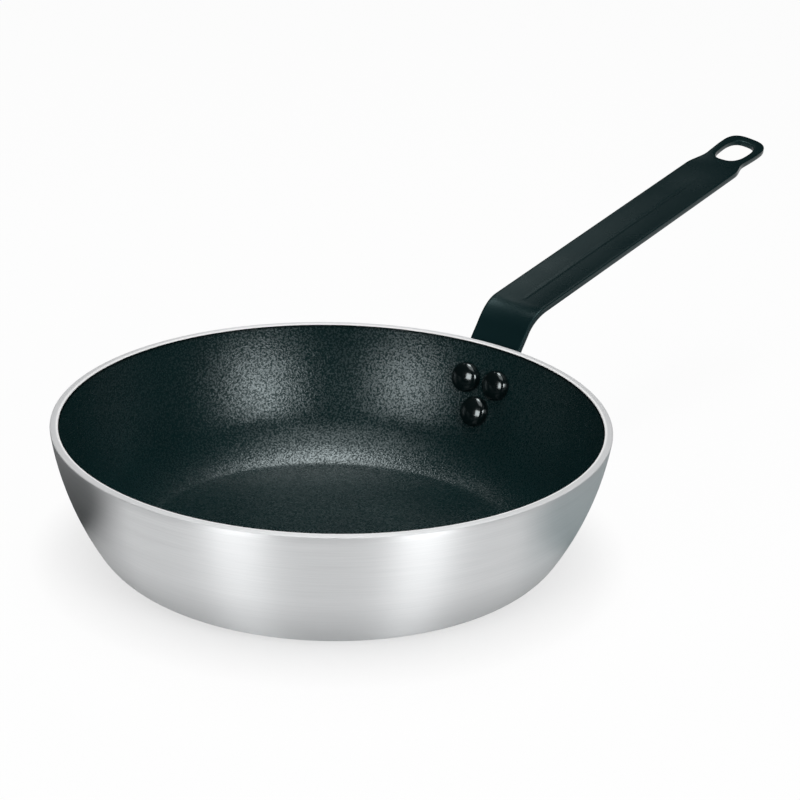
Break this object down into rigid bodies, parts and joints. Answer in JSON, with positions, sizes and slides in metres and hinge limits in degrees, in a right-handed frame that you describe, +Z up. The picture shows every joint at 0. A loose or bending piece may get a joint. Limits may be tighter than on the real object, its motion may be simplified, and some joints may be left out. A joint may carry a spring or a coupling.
{
  "type": "conical saute pan",
  "caption": "Round pan with a rounded, outward-leaning wall, dark non-stick inside and a riveted black strip handle that rises from the rim and ends in a hanging eye.",
  "frame": {"origin": "centre of the flat base, on the surface that the pan stands on", "axes": "+Z up along the pan's axis, +X along the handle away from the pan, +Y to the left of the handle"},
  "size_m": [0.4701, 0.2398, 0.1076],
  "materials": {
    "brushed_aluminium": "lathe brushed",
    "nonstick_coating": "satin with fine speckle",
    "coated_steel": "satin black coating",
    "coated_rivet": "gloss black coating"
  },
  "bodies": {
    "root": {"pan_body": "brushed_aluminium", "nonstick_lining": "nonstick_coating", "handle": "coated_steel", "rivet_upper_left": "coated_rivet", "rivet_upper_right": "coated_rivet", "rivet_lower": "coated_rivet"}
  },
  "joints": []
}
